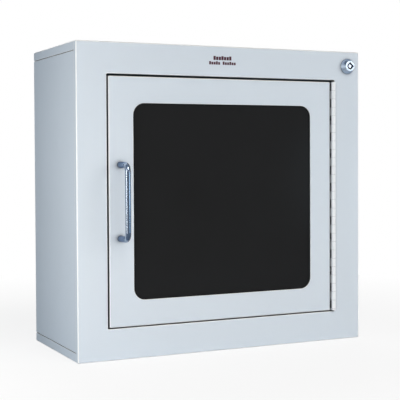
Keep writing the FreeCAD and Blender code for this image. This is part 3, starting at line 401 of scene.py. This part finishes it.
# ---- studio ----------------------------------------------------------------------------------
def smooth_floor():
    """Pale round floor that fades to plain white away from the cabinet.

    It is white to look at, and gives back less light than it shows, like a paper sweep with
    dark flags beside the camera. It doesn't deepen the painted crevice shade of the paint near
    it.
    """
    mesh = bmesh.new()
    bmesh.ops.create_circle(mesh, cap_ends=True, segments=FLOOR_CORNERS, radius=FLOOR_RADIUS)
    data = bpy.data.meshes.new("studio_floor")
    mesh.to_mesh(data)
    mesh.free()
    floor = bpy.data.objects.new("studio_floor", data)
    floor.location = (0.0, FLOOR_CENTRE_Y, cad_low.z - FLOOR_DROP)
    floor.visible_shadow = False
    bpy.context.scene.collection.objects.link(floor)

    finish = Finish("studio_floor", Base_Color=FLOOR_WHITE, Roughness=0.9,
                    Specular_IOR_Level=0.1)
    distance = finish.add("VectorMath", operation="LENGTH")
    finish.link(finish.place(), distance, "Vector")
    glow = finish.spread(distance.outputs["Value"], FLOOR_NEAR, FLOOR_FAR, FLOOR_GLOW_NEAR,
                         FLOOR_GLOW_FAR)
    seen = finish.mix_shaders(glow, finish.shader.outputs[0],
                              finish.add("Emission", Strength=1.0).outputs[0])
    rays = finish.add("LightPath")
    dim = finish.add("BsdfDiffuse")
    finish.link(finish.blend(rays.outputs["Is Glossy Ray"], FLOOR_LIT, FLOOR_MIRRORED), dim,
                "Color")
    shown = finish.mix_shaders(rays.outputs["Is Camera Ray"], dim.outputs[0], seen)
    finish.link(shown, finish.tree.nodes["Material Output"], "Surface")
    data.materials.append(finish.material)


def white_room():
    """World that is white to look at, with a dim fill and a brighter look in reflections."""
    world = bpy.data.worlds.new("white_room")
    bpy.context.scene.world = world
    world.use_nodes = True
    tree = world.node_tree
    rays = tree.nodes.new("ShaderNodeLightPath")
    tree.nodes.remove(tree.nodes["Background"])
    shown = None
    for ray, colour in ((None, ROOM_LIT), ("Is Glossy Ray", ROOM_MIRRORED),
                        ("Is Camera Ray", WHITE)):
        light = tree.nodes.new("ShaderNodeBackground")
        light.inputs["Color"].default_value = (*colour, 1.0)
        if ray:
            mix = tree.nodes.new("ShaderNodeMixShader")
            tree.links.new(rays.outputs[ray], mix.inputs[0])
            tree.links.new(shown, mix.inputs[1])
            tree.links.new(light.outputs[0], mix.inputs[2])
            light = mix
        shown = light.outputs[0]
    tree.links.new(shown, tree.nodes["World Output"].inputs["Surface"])


def soft_box(name, place, target, size, watts, tint=WHITE, mirrored=True, diffuse=True):
    """Rectangular area light aimed at a point; mirrored and diffuse say what it lights."""
    light = bpy.data.lights.new(name, "AREA")
    light.shape = "RECTANGLE"
    light.size, light.size_y = size
    light.energy = watts
    light.color = tint
    holder = bpy.data.objects.new(name, light)
    holder.location = place
    aim = Vector(target) - Vector(place)
    holder.rotation_euler = aim.to_track_quat("-Z", "Y").to_euler()
    holder.visible_camera = False
    holder.visible_glossy = mirrored
    holder.visible_diffuse = diffuse
    bpy.context.scene.collection.objects.link(holder)


def light_studio():
    """Soft light from the front right and above, with fills, and strips only for reflections."""
    bpy.context.scene.view_settings.view_transform = "Standard"
    white_room()
    front = (0.0, -0.2, 0.0)
    soft_box("key_box", place=(0.3, -3.0, 2.9), target=front, size=(2.0, 1.6), watts=60,
             tint=(1.0, 0.97, 0.935))
    soft_box("right_box", place=(2.6, -2.4, 1.0), target=front, size=(1.2, 1.2), watts=41,
             tint=(1.0, 0.993, 0.978), mirrored=False)
    soft_box("left_box", place=(-2.6, -0.9, 0.9), target=(-0.227, -0.1, 0.0), size=(1.0, 1.2),
             watts=6.0, tint=(0.50, 0.80, 1.0), mirrored=False)
    soft_box("near_box", place=(-0.62, -0.32, 0.02), target=(-0.227, -0.16, 0.0),
             size=(0.20, 0.66), watts=1.9, tint=(1.0, 0.975, 0.945), mirrored=False)
    soft_box("low_box", place=(0.0, -1.0, -0.17), target=(0.0, -0.2, -0.19), size=(1.2, 0.1),
             watts=3.1, tint=(1.0, 0.955, 0.90), mirrored=False)
    soft_box("back_box", place=(1.3, 3.1, 0.6), target=(0.0, 0.0, 0.0), size=(2.4, 1.2),
             watts=60, tint=(0.97, 0.985, 1.0))
    soft_box("edge_strip", place=(-1.8, -0.75, 0.0), target=(-0.15, -0.22, 0.0),
             size=(0.30, 1.6), watts=8.5, tint=(1.0, 0.965, 0.91), diffuse=False)
    soft_box("cool_strip", place=(2.24, -2.09, -0.12), target=(-0.12, -0.25, 0.0),
             size=(1.7, 0.5), watts=5.0, tint=(0.62, 0.83, 1.0), diffuse=False)
    soft_box("ring_strip", place=(2.05, -2.9, 0.52), target=(0.206, -0.2, 0.197),
             size=(0.30, 0.30), watts=0.95, diffuse=False)


def set_camera():
    """Camera low at the cabinet's left front, turned 25 degrees to its right."""
    forward = Vector((math.sin(YAW) * math.cos(PITCH), math.cos(YAW) * math.cos(PITCH),
                      -math.sin(PITCH)))
    right = Vector((math.cos(YAW), -math.sin(YAW), 0.0))
    up = right.cross(forward)
    side = right * math.cos(ROLL) + up * math.sin(ROLL)
    top = up * math.cos(ROLL) - right * math.sin(ROLL)
    camera = bpy.data.cameras.new("camera")
    camera.sensor_width = SENSOR
    camera.lens = LENS
    camera.shift_y = SHIFT_Y
    camera.clip_start = CLIP_START
    holder = bpy.data.objects.new("camera", camera)
    turn = Matrix((side, top, -forward)).transposed().to_4x4()
    holder.matrix_world = Matrix.Translation(CAMERA_PLACE) @ turn
    bpy.context.scene.collection.objects.link(holder)
    bpy.context.scene.camera = holder


dress_frame()
smooth_floor()
light_studio()
set_camera()
